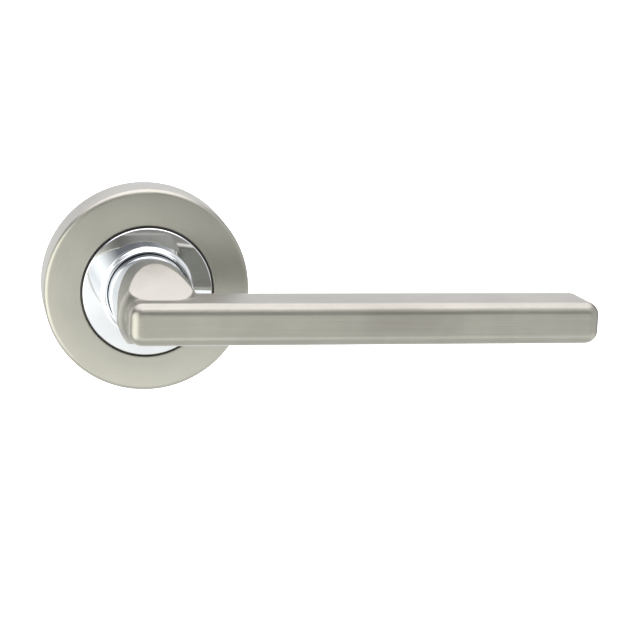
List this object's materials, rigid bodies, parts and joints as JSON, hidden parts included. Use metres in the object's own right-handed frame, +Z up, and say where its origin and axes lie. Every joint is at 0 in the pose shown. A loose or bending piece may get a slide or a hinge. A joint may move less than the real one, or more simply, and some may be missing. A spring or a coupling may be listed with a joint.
{
  "type": "lever handle on rose",
  "caption": "Straight bar lever handle on a round sprung rose, with a polished neck sleeve and rose ring, a square spindle and through-door fixings.",
  "frame": {"origin": "on the spindle axis at the door face, the plane that the rose is bolted against", "axes": "+X along the lever towards its free end, +Y into the door along the spindle, +Z up"},
  "size_m": [0.1333, 0.1095, 0.052],
  "materials": {
    "satin_nickel": "fine brushed satin nickel plate on a zinc die casting",
    "bright_chrome": "polished chrome plate",
    "raw_zinc": "as-cast zinc alloy, lightly tumbled",
    "zinc_plated_steel": "bright zinc plated steel",
    "spring_steel": "oil-tempered spring steel",
    "nylon": "natural moulded nylon",
    "gasket_fibre": "thin closed-cell sealing sheet"
  },
  "bodies": {
    "rose": {"thrust_washer": "nylon", "rose_base": "raw_zinc", "stop_pins": "zinc_plated_steel", "neck_bush": "nylon", "return_spring": "spring_steel", "bolt_washers": "zinc_plated_steel", "fixing_bolts": "zinc_plated_steel", "wood_screws": "zinc_plated_steel", "back_plate": "zinc_plated_steel", "plate_screws": "zinc_plated_steel", "backing_gasket": "gasket_fibre", "cover_clips": "spring_steel"},
    "lever": {"lever_handle": "satin_nickel", "neck_sleeve": "bright_chrome", "grub_screw": "spring_steel", "spindle": "zinc_plated_steel", "retaining_ring": "spring_steel", "disc_spring": "spring_steel", "spring_carrier": "zinc_plated_steel"},
    "cover": {"rose_cover": "satin_nickel", "chrome_ring": "bright_chrome", "ring_clip": "spring_steel"}
  },
  "joints": [
    {"name": "lever_turn", "type": "hinge", "parent": "rose", "child": "lever", "pos_m": [0, 0, 0], "axis": [0, 1, 0], "range_deg": [0, 45], "stiffness_Nm_per_rad": 1, "springref_deg": -28.65, "deforming": ["return_spring"]},
    {"name": "cover_slide", "type": "slide", "parent": "rose", "child": "cover", "axis": [0, -1, 0], "range_m": [0, 0.02]}
  ]
}
